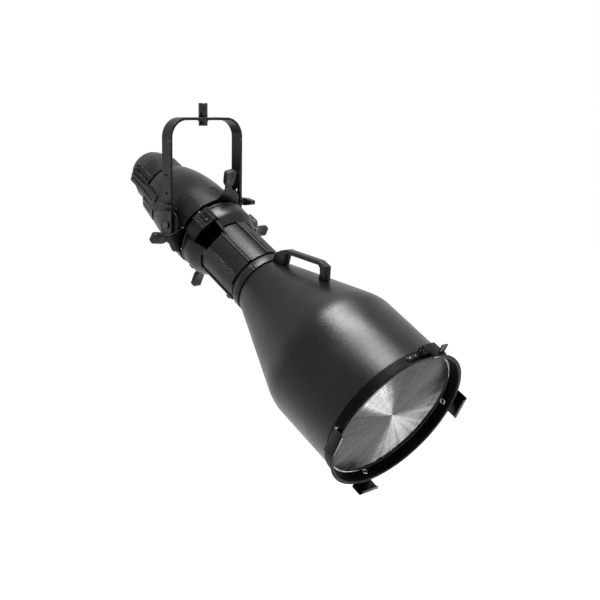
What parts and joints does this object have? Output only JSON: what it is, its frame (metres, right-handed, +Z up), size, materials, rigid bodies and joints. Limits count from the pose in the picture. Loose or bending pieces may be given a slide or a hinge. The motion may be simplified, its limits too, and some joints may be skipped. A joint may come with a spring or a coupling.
{
  "type": "profile spotlight",
  "caption": "Narrow-beam profile spotlight with a bell-shaped lens tube, framing shutters with moulded grips and a reflector housing, hung in a flat strap yoke from a round mounting stem.",
  "frame": {"origin": "centre of the stem's seat on the yoke's top face", "axes": "+Z up along the stem, -Y towards the side that the light leaves from, +X completes the right-handed frame"},
  "size_m": [0.362, 0.9777, 0.7663],
  "materials": {
    "black_sheet": "semi-gloss black paint on steel sheet",
    "black_casting": "semi-gloss black paint on cast aluminium",
    "black_plastic": "matte moulded",
    "black_steel": "blackened screws, pins and rings",
    "bright_steel": "satin zinc plate",
    "mirror_dish": "polished",
    "ceramic": null,
    "clear_glass": "clear",
    "tungsten": "drawn wire"
  },
  "bodies": {
    "root": {"mounting_stem": "black_sheet", "yoke_bolt": "black_steel", "yoke_washer": "black_steel"},
    "yoke": {"yoke": "black_sheet", "yoke_arms": "black_sheet", "clutch_plates": "black_sheet"},
    "clutch_left": {"clutch_handle_left": "black_sheet"},
    "clutch_right": {"clutch_handle_right": "black_sheet"},
    "lamp": {"brake_disc_left": "black_sheet", "brake_disc_right": "black_sheet", "pivot_bolts": "black_steel", "reflector_housing": "black_casting", "collar_screws": "black_steel", "reflector": "mirror_dish", "reflector_ring": "bright_steel", "rear_shroud": "black_casting", "side_fins_left": "black_casting", "side_fins_right": "black_casting"},
    "burner": {"burner_cap": "black_casting", "lamp_socket": "ceramic", "lamp_base": "bright_steel", "lamp_envelope": "clear_glass", "lamp_filament": "tungsten", "cable_gland": "black_plastic", "gland_nut": "black_plastic"},
    "cap_screw": {"cap_screw": "black_plastic"},
    "centring": {"centring_knob": "black_plastic"},
    "peak": {"peak_knob": "black_plastic"},
    "turn_lock": {"turn_lock_knob": "black_plastic"},
    "barrel": {"gate_rear_plate": "black_sheet", "gate_front_plate": "black_sheet", "gate_posts": "black_steel", "shutter_drum": "black_casting", "pattern_slot_cover": "black_sheet", "barrel": "black_casting"},
    "top_shutter": {"shutter_top": "black_sheet", "grip_top": "black_plastic"},
    "bottom_shutter": {"shutter_bottom": "black_sheet", "grip_bottom": "black_plastic"},
    "left_shutter": {"shutter_left": "black_sheet", "grip_left": "black_plastic"},
    "right_shutter": {"shutter_right": "black_sheet", "grip_right": "black_plastic"},
    "focus": {"lens_tube": "black_casting", "neck_ring": "black_casting", "neck_screws": "black_steel", "bell": "black_sheet", "carry_handle": "black_sheet", "handle_screws": "black_steel", "front_rim": "black_sheet", "lens": "clear_glass", "lens_ring": "black_steel", "frame_clip_left": "black_sheet", "frame_clip_bottom": "black_sheet", "frame_clip_right": "black_sheet", "clip_bolts": "black_steel", "latch_bracket": "black_sheet", "latch_pin": "black_steel"},
    "focus_lock": {"focus_knob": "black_plastic"},
    "latch": {"retainer_latch": "black_sheet"}
  },
  "joints": [
    {"name": "yoke_pan", "type": "hinge", "parent": "root", "child": "yoke", "pos_m": [0, 0, 0], "axis": [0, 0, 1], "continuous": true},
    {"name": "clutch_left_turn", "type": "hinge", "parent": "yoke", "child": "clutch_left", "pos_m": [-0.103, 0, -0.1985], "axis": [1, 0, 0], "range_deg": [0, 180]},
    {"name": "clutch_right_turn", "type": "hinge", "parent": "yoke", "child": "clutch_right", "pos_m": [0.103, 0, -0.1985], "axis": [1, 0, 0], "range_deg": [0, 180]},
    {"name": "tilt", "type": "hinge", "parent": "yoke", "child": "lamp", "pos_m": [0, 0, -0.24], "axis": [1, 0, 0], "range_deg": [-23, 42]},
    {"name": "burner_slide", "type": "slide", "parent": "lamp", "child": "burner", "axis": [0, 0.887, 0.4617], "range_m": [0, 0.12]},
    {"name": "cap_screw_turn", "type": "hinge", "parent": "burner", "child": "cap_screw", "pos_m": [0.03969, 0.23169, -0.13066], "axis": [0, -0.887, -0.4617], "range_deg": [-170, 170]},
    {"name": "centring_turn", "type": "hinge", "parent": "burner", "child": "centring", "pos_m": [0, 0.23378, -0.12168], "axis": [0, -0.887, -0.4617], "range_deg": [-170, 170]},
    {"name": "peak_turn", "type": "hinge", "parent": "burner", "child": "peak", "pos_m": [0, 0.24088, -0.11799], "axis": [0, -0.887, -0.4617], "range_deg": [-170, 170]},
    {"name": "turn_lock_turn", "type": "hinge", "parent": "lamp", "child": "turn_lock", "pos_m": [0, 0.0284, -0.3357], "axis": [0, 0.4617, -0.887], "range_deg": [-170, 170]},
    {"name": "barrel_turn", "type": "hinge", "parent": "lamp", "child": "barrel", "pos_m": [0, 0.00139, -0.24266], "axis": [0, -0.887, -0.4617], "range_deg": [-25, 25]},
    {"name": "top_shutter_slide", "type": "slide", "parent": "barrel", "child": "top_shutter", "axis": [0.2419, 0.448, -0.8607], "range_m": [0, 0.035]},
    {"name": "left_shutter_slide", "type": "slide", "parent": "barrel", "child": "left_shutter", "axis": [0.9877, 0.0722, -0.1388], "range_m": [0, 0.038]},
    {"name": "right_shutter_slide", "type": "slide", "parent": "barrel", "child": "right_shutter", "axis": [-1, 0, 0], "range_m": [0, 0.034]},
    {"name": "bottom_shutter_slide", "type": "slide", "parent": "barrel", "child": "bottom_shutter", "axis": [0, -0.4617, 0.887], "range_m": [-0.02, 0.016]},
    {"name": "focus_slide", "type": "slide", "parent": "barrel", "child": "focus", "axis": [0, -0.887, -0.4617], "range_m": [-0.005, 0.03]},
    {"name": "focus_lock_turn", "type": "hinge", "parent": "focus", "child": "focus_lock", "pos_m": [-0.00836, -0.11444, -0.39265], "axis": [-0.1045, 0.4592, -0.8822], "range_deg": [-170, 170]},
    {"name": "latch_turn", "type": "hinge", "parent": "focus", "child": "latch", "pos_m": [0, -0.68583, -0.40819], "axis": [-1, 0, 0], "range_deg": [0, 100]}
  ]
}
